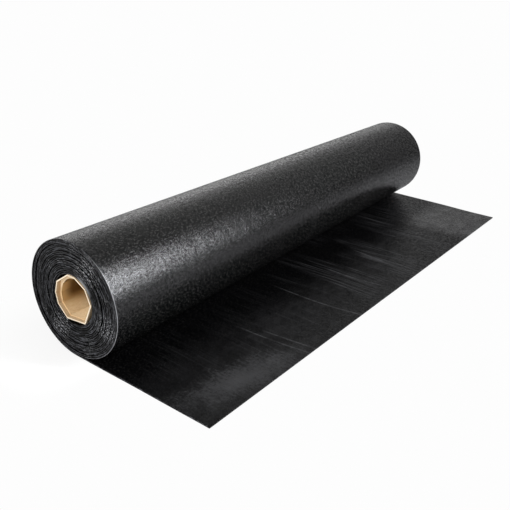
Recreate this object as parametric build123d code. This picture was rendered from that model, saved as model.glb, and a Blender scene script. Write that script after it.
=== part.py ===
from build123d import *
import math
import os

# A roll of bitumen roofing felt, wound on a faceted cardboard core and lying on its own loose end.
# Millimetres. Z is up from the floor, Y runs along the roll, and the loose end lies towards +X.
# The origin is on the floor, at the centre of the footprint.

# Felt
sheet_width = 1000.0
felt_thickness = 2.0
winding_gap = 0.5  # air between two turns, as it shows on the ends
gap_depth = 4.0  # how far in from each end the turns close up
turns = 20
tail_length = 263.0  # from under the roll's axis to the cut edge, at mid width
cut_skew = 2.5  # degrees that the hand-cut edge is out of square

# Core
core_radius = 37.0  # to the creases
crease_angles = (6, 44, 80, 103, 150, 181, 208, 246, 308)  # degrees, anticlockwise from +X
outer_crease_round = 1.8
inner_crease_round = 1.2
core_fit = 0.3  # between the creases and the first turn
rim_wall = 2.0  # the outer plies, which reach the near end
inner_plies = (0.8, 1.0, 2.0, 7.5, 5.0, 4.0, 2.0, 1.0, 0.8)  # inside them, at each crease in turn
inner_plies_setback = 6.0  # short of the near end

# The winding is a spiral of half circles. Those on the left share one centre and those on the
# right share another, half a pitch higher, so that each turn ends one pitch further in.
pitch = felt_thickness + winding_gap
bore_radius = core_radius + core_fit
roll_radius = bore_radius + pitch / 2 + turns * pitch - winding_gap
left_centre = roll_radius
right_centre = roll_radius + pitch / 2
core_axis_height = right_centre

half_width = sheet_width / 2
skew_half_run = half_width * math.tan(math.radians(cut_skew))
tail_reach = tail_length + skew_half_run
footprint_shift = (roll_radius - tail_reach) / 2


def left_radius(turn):
    """Of the outer face of this turn, counted from the outside of the roll."""
    return roll_radius - turn * pitch


def right_radius(turn):
    return left_radius(turn) - pitch / 2


def left_half(radius):
    """From the bottom of the roll up to its top."""
    return ThreePointArc(
        (0, left_centre - radius), (-radius, left_centre), (0, left_centre + radius)
    )


def right_half(radius):
    """From the top of the roll down to its bottom."""
    return ThreePointArc(
        (0, right_centre + radius), (radius, right_centre), (0, right_centre - radius)
    )


def closed_face(*curves):
    """The face inside these curves, with a straight line wherever one ends short of the next."""
    edges = []
    for curve, following in zip(curves, curves[1:] + curves[:1]):
        edges.append(curve)
        if (curve @ 1 - following @ 0).length > 1e-6:
            edges.append(Line(curve @ 1, following @ 0))
    return Plane.XZ * make_face(edges)


def wound_section():
    """The roll and its loose end, seen along the roll, with every turn closed up."""
    outline = closed_face(
        Line((tail_reach, 0), (0, 0)),
        left_half(left_radius(0)),
        right_half(right_radius(0)),
        Line((0, felt_thickness), (tail_reach, felt_thickness)),
    )
    bore = closed_face(
        left_half(left_radius(turns - 1) - felt_thickness),
        right_half(right_radius(turns - 1) - felt_thickness),
    )
    return outline - bore


def half_turn_groove(radius, centre_height, start_angle):
    """A V round half a turn, open at the near end of the roll and just outside this radius."""
    past_end = 0.5
    half_gap = winding_gap / 2
    half_mouth = half_gap * (1 + past_end / gap_depth)
    middle = radius + half_gap
    profile = Polyline(
        (middle, -half_width + gap_depth),
        (middle - half_mouth, -half_width - past_end),
        (middle + half_mouth, -half_width - past_end),
        close=True,
    )
    groove = revolve(make_face(profile), Axis.Y, 180)
    return Pos(0, 0, centre_height) * Rot(0, start_angle, 0) * groove


def end_grooves():
    """The gaps between the turns at the near end, from under the roll in to the first turn."""
    grooves = []
    for turn in range(1, turns):
        grooves.append(half_turn_groove(left_radius(turn), left_centre, 90))
        grooves.append(half_turn_groove(right_radius(turn), right_centre, -90))
    return grooves


def waste_past_cut():
    """What the knife takes off, from the slanting edge outwards."""
    margin = 10.0
    plan = Polyline(
        (tail_length - skew_half_run, -half_width),
        (tail_reach, half_width),
        (tail_reach + margin, half_width),
        (tail_reach + margin, -half_width),
        close=True,
    )
    return Pos(0, 0, -margin) * extrude(make_face(plan), felt_thickness + 2 * margin)


def felt_sheet():
    felt = extrude(wound_section(), half_width, both=True) - waste_past_cut()
    near = end_grooves()
    far = [mirror(groove, Plane.XZ) for groove in near]
    return felt - near - far


def crease_corners(depths):
    """A corner at every crease, each this deep below the core's outside."""
    corners = []
    for angle, depth in zip(crease_angles, depths):
        turned = math.radians(angle)
        radius = core_radius - depth
        corners.append((radius * math.cos(turned), radius * math.sin(turned)))
    return corners


def faceted_face(corners, rounding, inset=0.0):
    """The polygon with these corners, taken in by inset, with its corners rounded."""
    face = make_face(Polyline(*corners, close=True))
    if inset:
        face = offset(face, -inset, kind=Kind.INTERSECTION)
    face = fillet(face.vertices(), rounding)
    return Plane.XZ * Pos(0, core_axis_height) * face


def cardboard_core():
    near_end = Pos(0, -half_width, 0)
    outside = crease_corners([0] * len(crease_angles))
    inside = crease_corners([rim_wall + plies for plies in inner_plies])
    tube = near_end * extrude(faceted_face(outside, outer_crease_round), -sheet_width)
    mouth_face = faceted_face(outside, inner_crease_round, rim_wall)
    mouth = near_end * extrude(mouth_face, -inner_plies_setback)
    hollow = near_end * extrude(faceted_face(inside, inner_crease_round), -sheet_width)
    return tube - mouth - hollow


pieces = {"felt_sheet": felt_sheet(), "cardboard_core": cardboard_core()}

os.makedirs("parts", exist_ok=True)
for name, piece in pieces.items():
    export_step(Pos(footprint_shift, 0, 0) * piece, f"parts/{name}.step")

wound_length = math.pi * (roll_radius**2 - bore_radius**2) / pitch
print(f"roll radius {roll_radius:.2f}, sheet {(wound_length + tail_length) / 1000:.2f} m long")
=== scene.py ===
import bpy
import math
import numpy as np
from mathutils import Matrix, Vector


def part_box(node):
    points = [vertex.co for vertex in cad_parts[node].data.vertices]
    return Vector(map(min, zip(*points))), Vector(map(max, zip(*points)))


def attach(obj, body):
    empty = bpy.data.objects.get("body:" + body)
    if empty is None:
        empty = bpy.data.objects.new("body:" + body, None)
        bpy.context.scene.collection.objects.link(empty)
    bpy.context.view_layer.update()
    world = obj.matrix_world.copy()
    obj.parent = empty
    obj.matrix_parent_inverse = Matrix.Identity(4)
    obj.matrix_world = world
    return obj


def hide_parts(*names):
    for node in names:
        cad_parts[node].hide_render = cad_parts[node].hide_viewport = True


# A roll of black bitumen felt with a short loose end, wound on a crushed cardboard core.
# Metres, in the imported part's own frame: Z up, Y along the roll, the loose end towards +X.

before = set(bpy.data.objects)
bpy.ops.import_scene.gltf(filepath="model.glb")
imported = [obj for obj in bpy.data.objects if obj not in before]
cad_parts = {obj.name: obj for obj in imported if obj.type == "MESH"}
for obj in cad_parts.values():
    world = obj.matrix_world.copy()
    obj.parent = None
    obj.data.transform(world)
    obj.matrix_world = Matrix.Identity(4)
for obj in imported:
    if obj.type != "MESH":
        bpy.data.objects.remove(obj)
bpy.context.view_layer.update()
feltLow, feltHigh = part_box("felt_sheet")
coreLow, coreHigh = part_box("cardboard_core")
rollRadius = (feltHigh.z - feltLow.z) / 2
axisX = feltLow.x + rollRadius
halfWidth = (feltHigh.y - feltLow.y) / 2
coreHeight = (coreHigh.z + coreLow.z) / 2
print("frame loaded, roll radius", round(rollRadius, 4))


# Shader sums

class Value:
    # one number socket: sums written with it become Math nodes
    def __init__(self, board, socket):
        self.board = board
        self.socket = socket

    def sum(self, operation, *parts):
        return self.board.node("Math", {"operation": operation}, dict(enumerate(parts)))

    def __add__(self, other):
        return self.sum("ADD", self, other)

    def __radd__(self, other):
        return self.sum("ADD", other, self)

    def __sub__(self, other):
        return self.sum("SUBTRACT", self, other)

    def __rsub__(self, other):
        return self.sum("SUBTRACT", other, self)

    def __mul__(self, other):
        return self.sum("MULTIPLY", self, other)

    def __rmul__(self, other):
        return self.sum("MULTIPLY", other, self)

    def __truediv__(self, other):
        return self.sum("DIVIDE", self, other)

    def __rtruediv__(self, other):
        return self.sum("DIVIDE", other, self)

    def __pow__(self, other):
        return self.sum("POWER", self, other)

    def __abs__(self):
        return self.sum("ABSOLUTE", self)


class NodeBoard:
    # a material's or the world's nodes
    def __init__(self, owner):
        owner.use_nodes = True
        self.tree = owner.node_tree
        self.tree.nodes.clear()

    def node(self, kind, settings=None, inputs=None, output=0):
        made = self.tree.nodes.new("ShaderNode" + kind)
        for name, setting in (settings or {}).items():
            setattr(made, name, setting)
        for name, value in (inputs or {}).items():
            if isinstance(value, Value):
                self.tree.links.new(value.socket, made.inputs[name])
            else:
                made.inputs[name].default_value = value
        return Value(self, made.outputs[output]) if made.outputs else None

    def parts(self, vector, axes=(0, 1, 2)):
        # its x, y and z, or those of them that are asked for
        return [self.node("SeparateXYZ", None, {0: vector}, axis) for axis in axes]

    def point(self, x, y, z):
        return self.node("CombineXYZ", None, {0: x, 1: y, 2: z})

    def noise(self, point, detail, roughness, scale=1.0):
        sockets = {"Vector": point, "Scale": scale, "Detail": detail, "Roughness": roughness}
        return self.node("TexNoise", None, sockets)

    def fade(self, value, low, high, atLow=0.0, atHigh=1.0):
        # eases from atLow to atHigh while value goes from low to high, which may be the smaller
        return self.node("MapRange", {"interpolation_type": "SMOOTHSTEP"},
                         {0: value, 1: low, 2: high, 3: atLow, 4: atHigh})

    def blend(self, share, first, second):
        # from the first colour to the second
        kind = {"data_type": "RGBA", "clamp_factor": True}
        return self.node("Mix", kind, {0: share, 6: first, 7: second}, 2)


def distance(sideways, upwards):
    # the root of the sum of both squares
    return (sideways ** 2 + upwards ** 2) ** 0.5


def newMaterial(name):
    material = bpy.data.materials.new(name)
    return material, NodeBoard(material)


# The wound sheet

feltSheet = {
    # shape, in metres and turns
    "thickness": 0.0020,
    "gap": 0.0005,          # mean air between two turns
    "turns": 20,
    "tailLength": 0.263,    # the loose end, at mid width
    "cutSkew": 2.5,         # degrees
    "gapSpread": 1.1,       # how unevenly the turns are spaced
    "gapWaves": ((0.6, 0.9), (0.6, 0.23)),      # size and spacing of the curves that spread them
    "evenUnder": 0.07,      # of a turn, on both sides of the bottom, where the gaps grow even
    "looseTurn": 2.0,       # how far the outer turn stands off at the side away from the loose end
    "looseAt": 1.26,        # in turns from under the roll
    "looseSpan": 0.1,
    "endWander": 0.0009,    # how far the turns stray past each other at the ends
    "endWaves": ((1, 0.8), (0.5, 0.19)),        # size and spacing, as above
    "endsMeet": 0.4,        # of a turn, before they stray in full
    "edgeRound": 0.0005,
    "tailLift": 0.0007,     # gentle waves in the loose end
    "tailFlat": 0.09,       # from the roll, before they reach their full height
    "turnSteps": 60,
    "fineTurns": 1.5,       # the outer ones, which have more steps
    "fineSteps": 140,
    "tailSteps": 60,
    "widthSteps": 20,
    "edgeStep": 0.004,      # from the last of these to the sheet's cut edge
    "seed": 4,
    # colours
    "black": (0.0008, 0.0008, 0.0009, 1),
    "fleck": (0.0172, 0.0169, 0.0160, 1),
    # also paints the light patch near the loose end's corner
    "scuffAndLightPatch": (0.039, 0.039, 0.040, 1),
    "cutEdge": (0.0015, 0.0015, 0.0017, 1),
    "fibre": (0.060, 0.061, 0.068, 1),
    "dustAndGlint": (0.38, 0.385, 0.40, 1),
    # patterns, in cells to the metre along the sheet and across it
    "crepe": (1150, 1200),
    "pebbles": (190, 210),
    "flecks": (460, 240),
    "swells": (40, 50),
    "patches": (9, 7),
    "bends": (7, 5),
    "scuffLines": (8, 330),
    "scuffBands": (3, 16),
    "mottle": (60, 26),
    "lightPatchPlace": (-0.212, -0.39),   # its middle, along and across the loose end
    "lightPatchSize": (0.0385, 0.125),    # and its reach both ways
    "streaks": (            # from and to along it, across it there, and their bend
        (-0.070, -0.262, -0.138, -0.128, -0.007),
        (-0.100, -0.240, -0.012, -0.008, -0.006),
        (-0.105, -0.252, -0.293, -0.281, -0.002),
        (-0.145, -0.258, -0.277, -0.265, 0.0),
        (-0.108, -0.195, 0.099, 0.089, 0.0),
    ),
    # on the ends, from the core's axis; the first are the middles of patches where specks paint glints on
    # the turns' rounded edges
    "dustAndGlintPatches": ((-0.030, -0.049), (0.032, 0.049), (0.062, -0.021)),
    "paintedSheen": (0.027, 0.029),       # where a painted sheen lies on the first turn's edge
}


def wander(place, spacing, seed):
    # random heights from -1 to 1 at even knots, joined by half cosines
    place = np.asarray(place, float) / spacing
    knots = np.random.default_rng(seed).uniform(-1, 1, int(place.max()) + 3)
    low = np.floor(place).astype(int)
    ease = (1 - np.cos(np.pi * (place - low))) / 2
    return knots[low] * (1 - ease) + knots[low + 1] * ease


def wanders(place, waves, seed):
    # several such curves added up, each with its own size and spacing
    return sum(size * wander(place, spacing, seed + i) for i, (size, spacing) in enumerate(waves))


def turnInset(turn, spec):
    # How much further in a turn lies than even winding puts it. Each gap is the mean gap times
    # e to a random curve, the gaps outside a turn are added up, and the sum at each angle is
    # scaled so that the innermost turn stays where it was. Under the roll all gaps are even.
    count = spec["turns"]

    def gapAt(u):
        share = u - np.floor(u)
        free = np.clip(np.minimum(share, 1 - share) / spec["evenUnder"], 0, 1)
        free = free * free * (3 - 2 * free)
        curve = wanders(u, spec["gapWaves"], spec["seed"])
        loose = spec["looseTurn"] * np.exp(-((u - spec["looseAt"]) / spec["looseSpan"]) ** 2)
        return spec["gap"] * np.exp((spec["gapSpread"] * curve + loose) * free)

    share = turn - np.floor(turn)
    whole = sum(gapAt(k + share) for k in range(1, count))
    above = np.zeros_like(turn)
    for back in range(count):
        u = turn - back
        above += np.where(u >= 1, gapAt(np.maximum(u, 1)), 0)
    scaled = above * (count - 1) * spec["gap"] / whole
    return scaled - spec["gap"] * np.floor(turn)


def sheetProfile(spec):
    # Once round the sheet's cross section: out along the outer face, round one edge, back along
    # the inner face and round the other. depth goes from 0 outside to 1 inside.
    t, r = spec["thickness"], spec["edgeRound"]
    corner = np.linspace(0, math.pi / 2, 4)
    edgeDepth = np.concatenate([r * (1 - np.sin(corner[::-1])), t - r * (1 - np.sin(corner))])
    edgeIn = np.concatenate([r * (1 - np.cos(corner[::-1])), r * (1 - np.cos(corner))])
    rows = np.linspace(-1, 1, spec["widthSteps"]) * (halfWidth - spec["edgeStep"])
    across = np.concatenate([rows, halfWidth - edgeIn, rows[::-1], -halfWidth + edgeIn])
    depth = np.concatenate([0 * rows, edgeDepth, 0 * rows + t, edgeDepth[::-1]])
    return across, depth / t


def makeFeltSheet(spec):
    pitch = spec["thickness"] + spec["gap"]
    skew = math.tan(math.radians(spec["cutSkew"]))
    tail = np.linspace(-spec["tailLength"], 0, spec["tailSteps"], endpoint=False)
    fine, last = spec["fineTurns"], spec["turns"] - 1e-6
    outer = np.linspace(0, fine, int(fine * spec["fineSteps"]), endpoint=False)
    inner = np.linspace(fine, last, int((spec["turns"] - fine) * spec["turnSteps"]))
    turn = np.concatenate([0 * tail, outer, inner])
    beyond = np.concatenate([-tail, 0 * outer, 0 * inner])

    # The winding: half circles about two centres half a pitch apart, the left ones about the
    # lower centre, each a pitch smaller than the one outside it.
    share = turn - np.floor(turn)
    onRight = share > 0.5
    radius = rollRadius - np.floor(turn) * pitch - np.where(onRight, pitch / 2, 0)
    radius = radius - turnInset(turn, spec)
    centre = rollRadius + np.where(onRight, pitch / 2, 0)
    angle = 2 * math.pi * share
    across, depth = sheetProfile(spec)

    u, q = np.meshgrid(np.arange(len(turn)), np.arange(len(across)), indexing="ij")
    reach = radius[u] - depth[q] * spec["thickness"]
    stray = wanders(turn, spec["endWaves"], spec["seed"] + 2)
    stray = stray * np.clip(turn / spec["endsMeet"], 0, 1) * spec["endWander"]
    y = across[q] + stray[u]
    away = beyond[u] * (1 + skew * across[q] / spec["tailLength"])
    x = axisX - np.sin(angle)[u] * reach + away
    z = centre[u] - np.cos(angle)[u] * reach

    # The loose end's waves: two crossing sines multiplied, growing with the square of the way out
    wave = np.sin(away * 41 + across[q] * 2.4 + 0.6) * np.sin(across[q] * 5.1 - away * 9 + 1.1)
    z = z + spec["tailLift"] * (1 + wave) / 2 * np.clip(away / spec["tailFlat"], 0, 1) ** 2

    # Metres along the sheet: below 0 on the loose end, 0 under the roll's axis, growing inwards
    run = np.cumsum(2 * math.pi * radius * np.gradient(turn))
    along = np.where(beyond[u] > 0, -away, run[u])
    return gridPiece("felt_wound_sheet", x, y, z, np.stack([along, across[q], depth[q]], -1))


def gridPiece(name, x, y, z, sheetPlace):
    # A tube of quads over the grid: rows follow the first index, the second one closes up, and
    # one flat face shuts each end. All of them face out of the sheet.
    rows, columns = x.shape
    first = np.arange(rows - 1)[:, None] * columns
    here = np.arange(columns)[None, :]
    nextOne = (here + 1) % columns
    above = first + columns
    quads = np.stack([first + here, above + here, above + nextOne, first + nextOne], -1)
    faces = quads.reshape(-1, 4).tolist()
    faces.append(list(range(columns)))
    faces.append([(rows - 1) * columns + i for i in range(columns)][::-1])
    mesh = bpy.data.meshes.new(name)
    mesh.from_pydata(np.stack([x, y, z], -1).reshape(-1, 3).tolist(), [], faces)
    place = mesh.attributes.new("sheetPlace", "FLOAT_VECTOR", "POINT")
    place.data.foreach_set("vector", sheetPlace.astype(np.float32).ravel())
    mesh.shade_smooth()
    mesh.set_sharp_from_angle(angle=math.radians(50))
    mesh.update()
    piece = bpy.data.objects.new(name, mesh)
    bpy.context.scene.collection.objects.link(piece)
    return piece


def feltMaterial(spec):
    material, board = newMaterial("bitumen_felt")
    place = board.node("Attribute", {"attribute_name": "sheetPlace"}, None, "Vector")
    along, across, depth = board.parts(place)

    def pattern(name, layer, detail, roughness, sideways=across):
        # noise of this cell size; the layer keeps the patterns apart
        cells = spec[name]
        return board.noise(board.point(along * cells[0], sideways * cells[1], layer), detail, roughness)

    # Crepe, coarser towards the far end, and the pale flecks in it. The inner face, which the
    # loose end turns upwards, has fewer flecks, and fewest well out on the loose end.
    crepe = pattern("crepe", depth * 3, 1, 0.6)
    pebble = pattern("pebbles", depth * 3 + 6, 1, 0.7)
    grain = crepe * 0.8 + pebble * 0.2
    coarse = board.fade(across, -0.3, 0.2)
    crests = board.fade(grain, 0.425, 0.575, 0.04, 1)
    crests = crests * board.fade(pebble, 0.36, 0.62, 1 - 0.32 * coarse, 1.03)
    fleck = pattern("flecks", depth * 9 + 4, 1, 0.6)
    flecked = board.fade(fleck + (pebble - 0.5) * coarse * 0.5, 0.53, 0.65) * (1 - 0.7 * depth)
    flecked = flecked * board.fade(along, -0.03, -0.1, 1, 0.6)
    swell = pattern("swells", 7.0, 2, 0.5)
    patch = pattern("patches", 1.0, 2, 0.5)
    mottle = pattern("mottle", 8.0, 3, 0.65)

    # Scuff lines along the loose end: many faint ones, gathered in bands, and a few plain streaks
    bent = across + 0.012 * pattern("bends", 2.0, 0, 0.5)
    faint = board.fade(pattern("scuffLines", 3.0, 1, 0.5, bent), 0.45, 0.75)
    band = pattern("scuffBands", 5.0, 2, 0.6)
    # Painted shade: the scuffs fade out towards the roll, where it shades the loose end
    pastPaintedShade = board.fade(along, -0.02, -0.13, 0.2, 1)
    gathered = board.fade(across, -0.16, 0.04, 0.2, 0.8) * board.fade(across, 0.52, 0.34)
    gathered = gathered * board.fade(band, 0.40, 0.60) * board.fade(patch, 0.3, 0.5)
    scuffed = faint * gathered * pastPaintedShade
    streaked = 0.0
    for start, end, first, last, sag in spec["streaks"]:
        way = (along - start) / (end - start)
        line = first + (last - first) * way + 4 * sag * way * (1 - way)
        # each streak fades in from the roll's painted shade, and out at its far end
        ends = board.fade(way, 0, 0.4) * board.fade(way, 1.03, 0.95)
        streaked = streaked + board.fade(abs(across - line), 0.0024, 0.0004) * ends
    streaked = streaked * board.fade(mottle, 0.35, 0.6, 0.35, 1)

    # A painted light patch near the corner of the loose end, a little askew, standing for soft reflected
    # light, and cloudy lighter patches by its edge
    offX = along - spec["lightPatchPlace"][0]
    offY = across - spec["lightPatchPlace"][1]
    fromLightPatch = distance((offX + offY * 0.2) / spec["lightPatchSize"][0], offY / spec["lightPatchSize"][1])
    paintedLightPatch = board.fade(fromLightPatch + (swell - 0.5) + (pebble - 0.5) * 1.3, 1.2, 0.0)
    cloudy = board.fade(mottle + (patch - 0.5) * 0.6, 0.42, 0.74, 0, 0.2)
    paintedLightPatch = paintedLightPatch + cloudy * board.fade(along, -0.10, -0.17)

    # Cut edges: long fibres, and dust caught here and there. In the same pale colour, specks gathered in
    # patches paint glints, and a painted highlight and a painted sheen lie on the turns' edges
    onEdge = board.fade(abs(across), halfWidth - 0.0011, halfWidth - 0.0002)
    strand = board.noise(board.point(along * 70, depth * 0.9, across * 40), 2, 0.7)
    speck = board.noise(board.point(along * 280, depth * 2.2, across * 40 + 5), 2, 0.7)
    inRoom = board.node("TexCoord", None, None, "Object")
    x, z = board.parts(inRoom, (0, 2))
    sideways = x - axisX
    height = z - coreHeight
    cloud = board.noise(inRoom, 2, 0.6, 34)
    firstTurn = board.fade(distance(sideways, height), 0.0425, 0.0405)
    # A painted sheen on the first turn's cut edge, up and to the right of the core
    fromSheen = distance(sideways - spec["paintedSheen"][0], height - spec["paintedSheen"][1])
    paintedSheen = board.fade(fromSheen, 0.020, 0.006) * firstTurn
    # Specks lie on random clouds of dust, and in the listed patches, where they are painted glints
    dustAndGlintPatches = board.fade(cloud, 0.5, 0.7, 0, 0.6)
    for middle in spec["dustAndGlintPatches"]:
        away = distance(sideways - middle[0], height - middle[1])
        dustAndGlintPatches = dustAndGlintPatches + board.fade(away + (cloud - 0.5) * 0.03, 0.026, 0.008)
    strands = board.fade(strand, 0.48, 0.66) * board.fade(sideways, -0.08, -0.01, 0.65, 1)
    specks = board.fade(speck, 0.56, 0.62) * dustAndGlintPatches
    # A painted highlight down the right side of the outer turn's cut edge, on its outer corner
    paintedRimHighlight = board.fade(along, 0.30, 0.38) * board.fade(along, 0.64, 0.56) * board.fade(depth, 0.4, 0.1)

    colour = board.blend(flecked, spec["black"], spec["fleck"])
    # Scuffs and streaks, and the painted light patch, in the one scuff colour
    wearAndLightPatch = scuffed * 0.8 + streaked * 0.45 + paintedLightPatch * 0.54
    colour = board.blend(wearAndLightPatch, colour, spec["scuffAndLightPatch"])
    colour = board.blend(onEdge, colour, spec["cutEdge"])
    colour = board.blend(onEdge * strands, colour, spec["fibre"])
    # Dust, and the painted glints, highlight and sheen, all in the pale colour
    light = specks + paintedRimHighlight * 0.5 + paintedSheen * 0.4
    colour = board.blend(onEdge * light, colour, spec["dustAndGlint"])

    # The sheen sits on the crests. The inner face has half as much, apart from where the loose
    # end is pressed smooth towards its far corner.
    relief = grain + swell * 2
    bump = board.node("Bump", None, {"Strength": 1.0, "Distance": 0.0003, "Height": relief})
    pressed = board.fade(across + (band - 0.5) * 0.1, 0.26, 0.38) * board.fade(along, -0.12, -0.18, 0, 0.9)
    pressed = pressed * (board.fade(mottle, 0.35, 0.65, 0.8, 1.2) - 0.45 * faint)
    shine = crests + (0.65 - crests) * pressed * depth * 0.5
    shine = shine * (1 - 0.5 * scuffed) * (1 - 0.5 * depth * (1 - pressed))
    dull = board.node("BsdfPrincipled", None,
                      {"Base Color": colour, "Roughness": 0.7,
                       "Specular IOR Level": 0.0, "Normal": bump})
    glossy = board.node("BsdfPrincipled", None,
                        {"Base Color": colour, "Roughness": 0.19 - depth * 0.05,
                         "Specular IOR Level": 0.6, "Normal": bump})
    shader = board.node("MixShader", None, {0: shine, 1: dull, 2: glossy})
    board.node("OutputMaterial", None, {"Surface": shader})
    return material


felt = makeFeltSheet(feltSheet)
felt.data.materials.append(feltMaterial(feltSheet))
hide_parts("felt_sheet")
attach(felt, "root")
print("felt wound,", len(felt.data.polygons), "faces")


# The cardboard core

coreBoard = {
    "wall": (1.0, 0.79, 0.51, 1),
    "dark": (0.82, 0.58, 0.32, 1),
    "deep": (0.74, 0.47, 0.20, 1),
    "cutEnd": (0.80, 0.68, 0.52, 1),
    "ledge": (0.70, 0.50, 0.28, 1),
    "ledgeTopLit": (1.0, 0.81, 0.55, 1),
    "recessShade": (0.62, 0.45, 0.27, 1),    # the band of the outer plies that the set-back ones leave bare, painted darker as shade where they are set back
    "paintedShade": (0.13, 0.062, 0.014, 1),
    "setback": 0.006,       # of the inner plies, from the near end
    "ledgeOut": 0.0284,     # painted shade on the set-back plies starts here
    "ledgeIn": 0.0276,      # to here, from the core's axis
}


def cardboardMaterial(spec):
    material, board = newMaterial("core_cardboard")
    place = board.node("TexCoord", None, None, "Object")
    normal = board.node("TexCoord", None, None, "Normal")
    x, y, z = board.parts(place)
    inwards = y + halfWidth
    height = z - coreHeight
    setback = spec["setback"]
    onEnd = board.fade(abs(board.parts(normal)[1]), 0.6, 0.9)
    onLedge = onEnd * board.fade(inwards, setback / 3, setback * 2 / 3)
    recessShade = board.fade(inwards, setback - 0.0002, setback - 0.0005) * (1 - onEnd)

    # Fibrous board with blotches, and painted shade: darker above its lowest part, and darkest far inside
    # its upper half
    fibres = board.noise(board.point(x * 900, y * 160, z * 900), 3, 0.6)
    blotch = board.noise(place, 3, 0.55, 45)
    colour = board.blend(board.fade(fibres, 0.3, 0.75), spec["dark"], spec["wall"])
    colour = board.blend(board.fade(blotch, 0.35, 0.7, 0, 0.35), colour, spec["dark"])
    # Painted shade: all of the board above its lowest part is darker
    colour = board.blend(board.fade(height, -0.03, -0.012), colour, spec["deep"])
    # Painted shade, growing inwards from the near end in the upper half
    paintedShadeInside = board.fade(inwards, 0.007, 0.027) * board.fade(height, -0.022, -0.007, 0, 0.93)
    colour = board.blend(paintedShadeInside, colour, spec["paintedShade"])

    # The cut ends, and the ledge where the inner plies stop short
    # Painted shade on the bare band of the outer plies
    colour = board.blend(recessShade, colour, spec["recessShade"])
    colour = board.blend(onEnd, colour, spec["cutEnd"])
    # Painted light: the ledge grows paler towards its top, over the darker colour of its shaded lower part
    ledge = board.blend(board.fade(height, 0.002, 0.016), spec["ledge"], spec["ledgeTopLit"])
    colour = board.blend(onLedge, colour, ledge)
    # Painted shade: a thin dark line on the ledge along the hollow's edge
    shadeByHollow = board.fade(distance(x - axisX, height), spec["ledgeOut"], spec["ledgeIn"])
    colour = board.blend(onLedge * shadeByHollow, colour, spec["paintedShade"])

    relief = fibres + blotch * 0.5
    bump = board.node("Bump", None, {"Strength": 0.4, "Distance": 0.0003, "Height": relief})
    shader = board.node("BsdfPrincipled", None,
                        {"Base Color": colour, "Roughness": 0.85,
                         "Specular IOR Level": 0.15, "Normal": bump})
    board.node("OutputMaterial", None, {"Surface": shader})
    return material


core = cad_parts["cardboard_core"]
core.data.materials.clear()
core.data.materials.append(cardboardMaterial(coreBoard))
print("core finished")


# Floor, light and camera

studio = {
    "floorDrop": 0.0002,
    "floorSize": 40.0,
    "floorPaintedLitNear": (0.52, 0.52, 0.52, 1),
    "floorPaintedLitFar": (0.18, 0.18, 0.18, 1),
    "floorLit": (0.445, 0.16),      # how bright it comes out under the lamps, near and far
    "farFrom": (-0.1, 1.6),         # along the roll, from where to where near turns into far
    "shadeShare": 0.6,      # of the lit floor in what the camera sees by the roll, the rest is white
    "shadeRound": (0.19, 0.5),      # half the width and length that the roll and its loose end cover
    "shadeReach": 0.12,
    "shadeSide": (0.06, -0.03),     # from the roll's axis, where the shade fades towards the loose end
    "white": 0.983,
    "ambient": 0.3,
    "mirrored": (0.20, 0.60),       # the room as glossy surfaces see it, low down and overhead
    "backdrop": 2.25,       # and its bright side, behind the roll
    "sideBox": {
        "aim": (axisX, -0.4, 0.1),
        "azimuth": 29.5,    # from +X towards +Y
        "elevation": 29.5,
        "distance": 4,
        "size": (1.2, 2.4),
        "power": 360,
        "colour": (0.945, 0.955, 1.0),
    },
    "frontBox": {
        "aim": (axisX, -0.5, 0.1),
        "azimuth": -97,
        "elevation": 38,
        "distance": 4,
        "size": (2, 2),
        "power": 138,
        "colour": (1, 1, 1),
    },
}


def makeFloor(spec):
    # One big square. The camera sees it white, and near the roll as a share of the floor that
    # the lamps light, made up with white so that only the roll's own shade darkens it.
    half = spec["floorSize"] / 2
    corners = [(-half, -half), (half, -half), (half, half), (-half, half)]
    mesh = bpy.data.meshes.new("floor")
    mesh.from_pydata([(x, y, -spec["floorDrop"]) for x, y in corners], [], [(0, 1, 2, 3)])
    floor = bpy.data.objects.new("floor", mesh)
    bpy.context.scene.collection.objects.link(floor)
    material, board = newMaterial("pale_floor")
    seen = board.node("LightPath", None, None, "Is Camera Ray")
    place = board.node("TexCoord", None, None, "Object")
    x, y = board.parts(place, (0, 1))

    def past(offset, limit):
        return board.node("Math", {"operation": "MAXIMUM"}, {0: abs(offset) - limit, 1: 0.0})

    away = distance(past(x, spec["shadeRound"][0]), past(y, spec["shadeRound"][1]))
    share = board.fade(away, spec["shadeReach"], 0, 0, spec["shadeShare"])
    share = share * board.fade(x - axisX, *spec["shadeSide"])
    # The floor's colour is a painted pool of light, lighter near the roll and darker far along it
    colour = board.blend(board.fade(y, *spec["farFrom"]), spec["floorPaintedLitNear"], spec["floorPaintedLitFar"])
    paper = board.node("BsdfDiffuse", None, {"Color": colour})
    lit = board.fade(y, *spec["farFrom"], *spec["floorLit"])
    white = (spec["white"] - share * lit) / (1 - share)
    glow = board.node("Emission", None, {"Color": white, "Strength": 1.0})
    shader = board.node("MixShader", None, {0: seen * (1 - share), 1: paper, 2: glow})
    board.node("OutputMaterial", None, {"Surface": shader})
    mesh.materials.append(material)


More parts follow.
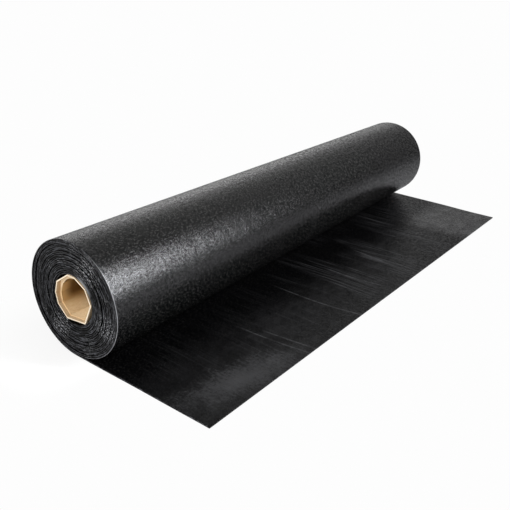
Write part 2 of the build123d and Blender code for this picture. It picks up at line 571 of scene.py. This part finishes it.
def makeWorld(spec):
    # White to the camera, an even dim light on dull surfaces, and for glossy ones a room that
    # is lighter overhead and brightest low down behind the roll
    world = bpy.data.worlds.new("studio")
    bpy.context.scene.world = world
    board = NodeBoard(world)
    seen = board.node("LightPath", None, None, "Is Camera Ray")
    glossy = board.node("LightPath", None, None, "Is Glossy Ray")
    way = board.node("TexCoord", None, None, "Generated")
    x, z = board.parts(way, (0, 2))
    behind = board.fade(x, 0.0, -0.75) * board.fade(z, 0.68, 0.28, 0.1, 1)
    walls = board.fade(z, 0.1, 0.7, *spec["mirrored"])
    room = walls + (spec["backdrop"] - walls) * behind
    strength = seen * spec["white"] + (1 - seen) * (glossy * room + (1 - glossy) * spec["ambient"])
    light = board.node("Background", None, {"Color": (1, 1, 1, 1), "Strength": strength})
    board.node("OutputWorld", None, {"Surface": light})


def makeSoftBox(name, spec):
    a, e = math.radians(spec["azimuth"]), math.radians(spec["elevation"])
    way = Vector((math.cos(a) * math.cos(e), math.sin(a) * math.cos(e), math.sin(e)))
    lamp = bpy.data.lights.new(name, "AREA")
    lamp.shape = "RECTANGLE"
    lamp.size, lamp.size_y = spec["size"]
    lamp.energy = spec["power"]
    lamp.color = spec["colour"]
    holder = bpy.data.objects.new(name, lamp)
    holder.location = Vector(spec["aim"]) + way * spec["distance"]
    holder.rotation_euler = way.to_track_quat("Z", "Y").to_euler()
    bpy.context.scene.collection.objects.link(holder)


photoCamera = {
    "place": (0.614732, -0.972883, 0.513141),  # from the point on the floor under the roll's middle
    "azimuth": 34.2846,
    "elevation": 24.7691,
    "tilt": 3.5364,
    "lens": 44.3113,
}


def makeCamera(spec):
    a, e, t = [math.radians(spec[k]) for k in ("azimuth", "elevation", "tilt")]
    back = Vector((math.sin(a) * math.cos(e), -math.cos(a) * math.cos(e), math.sin(e)))
    right = Vector((0, 0, 1)).cross(back).normalized()
    up = back.cross(right)
    across = right * math.cos(t) + up * math.sin(t)
    above = up * math.cos(t) - right * math.sin(t)
    data = bpy.data.cameras.new("photo_camera")
    data.lens = spec["lens"]
    data.sensor_width = 36.0
    data.clip_start = 0.02
    data.clip_end = 100
    camera = bpy.data.objects.new("photo_camera", data)
    turn = Matrix((across, above, back)).transposed().to_4x4()
    camera.matrix_world = Matrix.Translation(Vector(spec["place"]) + Vector((axisX, 0, 0))) @ turn
    bpy.context.scene.collection.objects.link(camera)
    bpy.context.scene.camera = camera


makeFloor(studio)
makeWorld(studio)
makeSoftBox("side_box", studio["sideBox"])
makeSoftBox("front_box", studio["frontBox"])
makeCamera(photoCamera)
bpy.context.scene.view_settings.view_transform = "Standard"
print("studio set")
